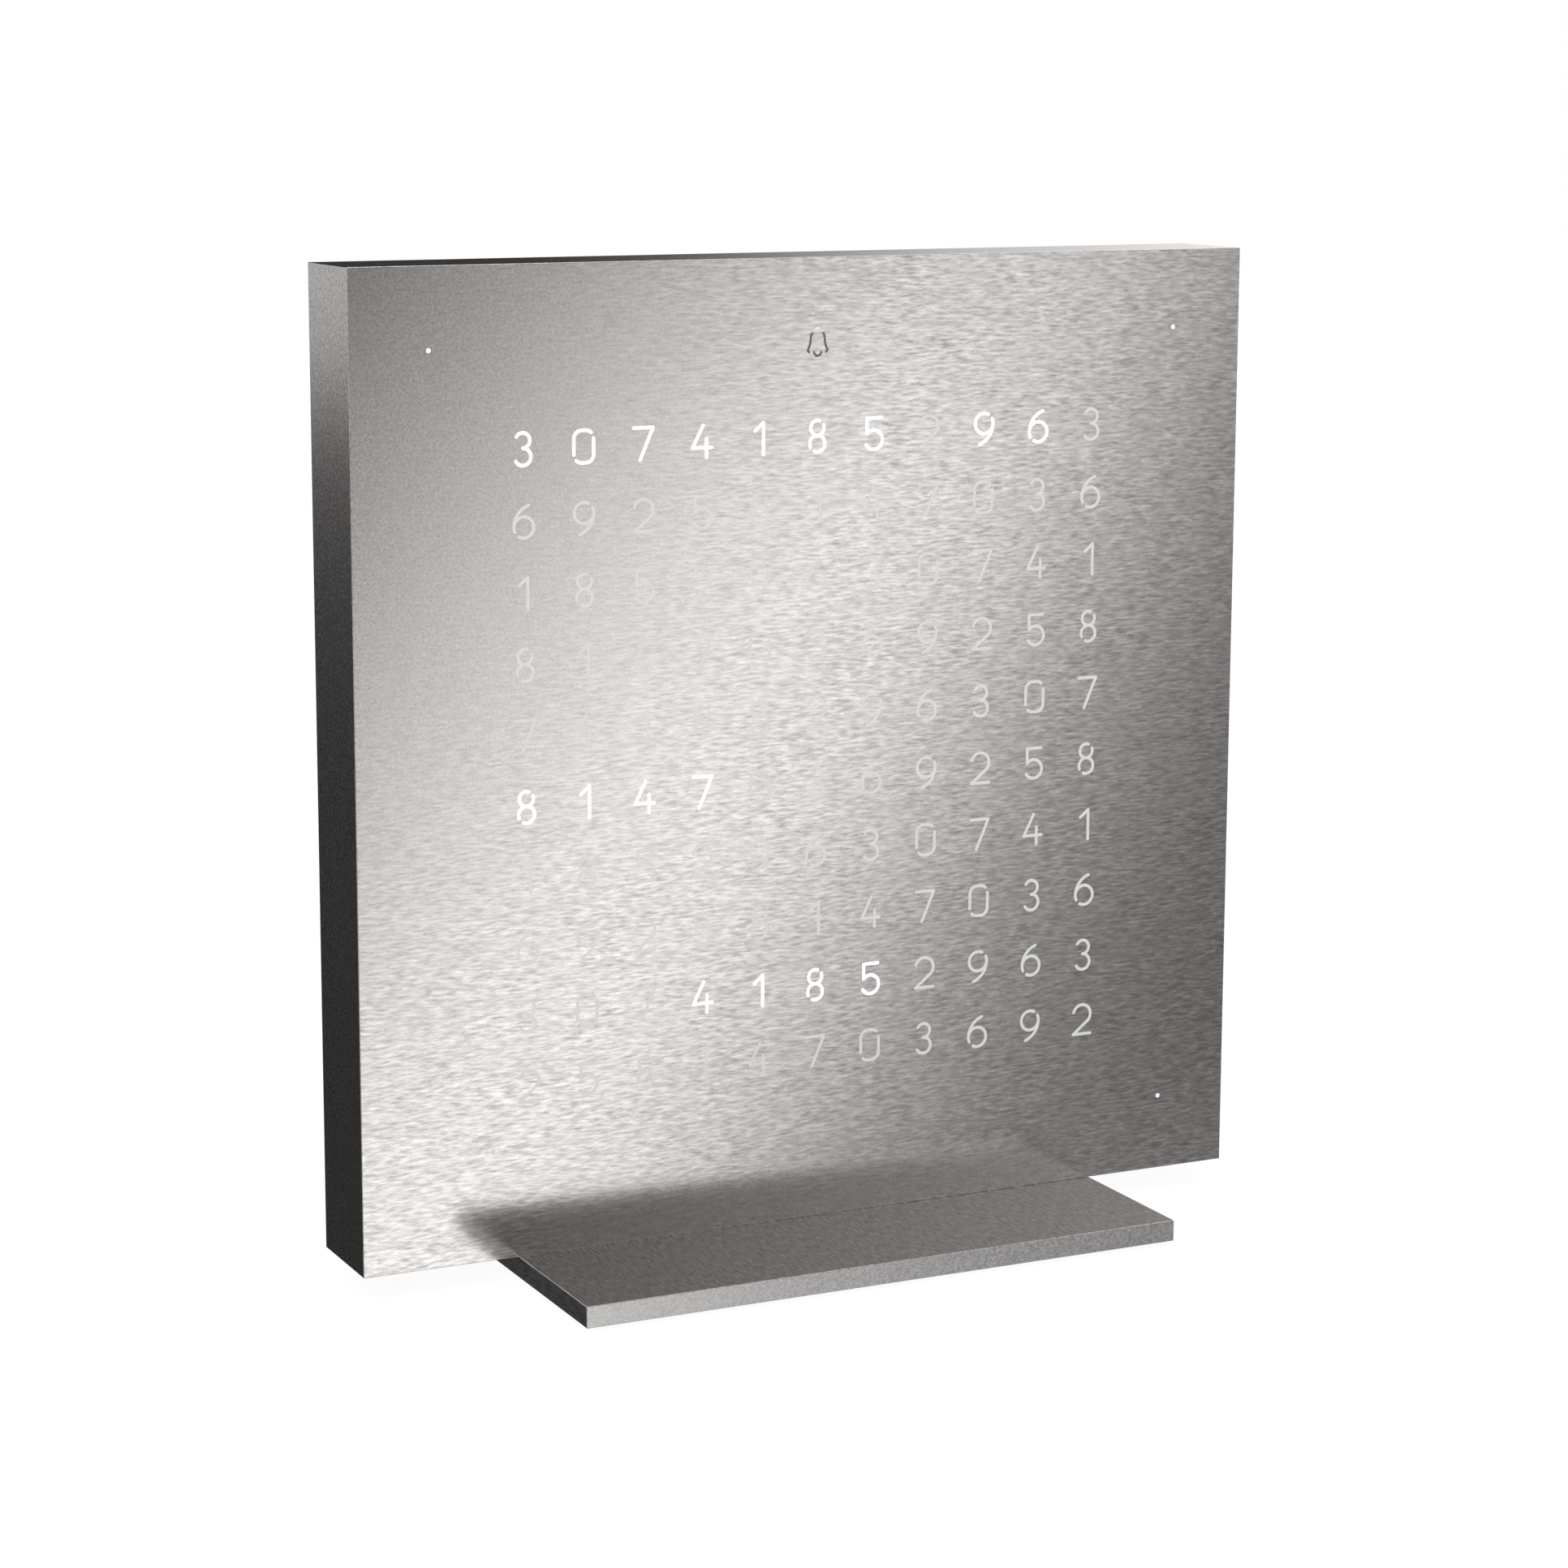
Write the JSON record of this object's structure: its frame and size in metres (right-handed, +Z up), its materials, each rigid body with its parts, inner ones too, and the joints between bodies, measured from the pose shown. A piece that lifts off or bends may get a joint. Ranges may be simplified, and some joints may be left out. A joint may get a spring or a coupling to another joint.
{
  "type": "word clock",
  "caption": "Desk word clock: a thin square brushed steel case with a grid of stencil numerals lit from behind, on a flat steel foot plate, with push buttons on the back.",
  "frame": {"origin": "middle of the underside of the foot's pad, on the surface that the clock stands on", "axes": "+Z up; the face looks along -Y; +X is to the right of someone looking at the face"},
  "size_m": [0.135, 0.0624, 0.1386],
  "materials": {
    "steel": "fine horizontal brushing",
    "foot_steel": "fine brushing, satin",
    "inlay": "milky cast resin, level with the steel",
    "smoked_inlay": "smoked cast resin, level with the steel",
    "diffuser": "milky acrylic sheet",
    "white_plastic": "white moulded plastic",
    "black_plastic": "fine grained black moulded plastic",
    "button_plastic": "smooth black moulded plastic",
    "board": "green solder resist on glass laminate",
    "component": "black moulded component body",
    "lamp": "white lamp package",
    "plated_steel": "bright plated steel",
    "cell_steel": "polished stainless",
    "can": "satin aluminium can",
    "brass": "bare turned brass",
    "insulator": "black insulator",
    "label": "blank silver film",
    "rubber": "thin black rubber sheet",
    "screw_steel": "dark plated screws"
  },
  "bodies": {
    "case": {"face_shell": "steel", "numeral_inlays": "inlay", "bell_inlay": "smoked_inlay", "diffuser_sheet": "diffuser", "light_grid": "white_plastic", "main_board": "board", "lamps": "lamp", "controller_chip": "component", "lamp_drivers": "component", "clock_crystal": "plated_steel", "capacitors": "can", "resistors": "component", "coin_cell": "cell_steel", "coin_cell_holder": "component", "coin_cell_contact": "plated_steel", "alarm_sounder": "component", "power_socket_shell": "plated_steel", "power_socket_tongue": "insulator", "touch_spring": "brass", "switch_bodies": "component", "switch_domes": "plated_steel", "rear_cover": "black_plastic", "rating_label": "label", "face_studs": "plated_steel", "board_spacers": "brass", "cover_screws": "screw_steel", "board_screws": "screw_steel", "foot_block": "plated_steel", "base_plate": "foot_steel", "foot_screws": "screw_steel", "base_pad": "rubber"},
    "hour_button": {"hour_button_cap": "button_plastic", "hour_switch_plunger": "insulator"},
    "minute_button": {"minute_button_cap": "button_plastic", "minute_switch_plunger": "insulator"},
    "alarm_button": {"alarm_button_cap": "button_plastic", "alarm_switch_plunger": "insulator"},
    "dimmer_button": {"dimmer_button_cap": "button_plastic", "dimmer_switch_plunger": "insulator"}
  },
  "joints": [
    {"name": "hour_press", "type": "slide", "parent": "case", "child": "hour_button", "axis": [0, -1, 0], "range_m": [0, 0.0006], "stiffness_N_per_m": 3000},
    {"name": "minute_press", "type": "slide", "parent": "case", "child": "minute_button", "axis": [0, -1, 0], "range_m": [0, 0.0006], "stiffness_N_per_m": 3000},
    {"name": "alarm_press", "type": "slide", "parent": "case", "child": "alarm_button", "axis": [0, -1, 0], "range_m": [0, 0.0006], "stiffness_N_per_m": 3000},
    {"name": "dimmer_press", "type": "slide", "parent": "case", "child": "dimmer_button", "axis": [0, -1, 0], "range_m": [0, 0.0006], "stiffness_N_per_m": 3000}
  ]
}
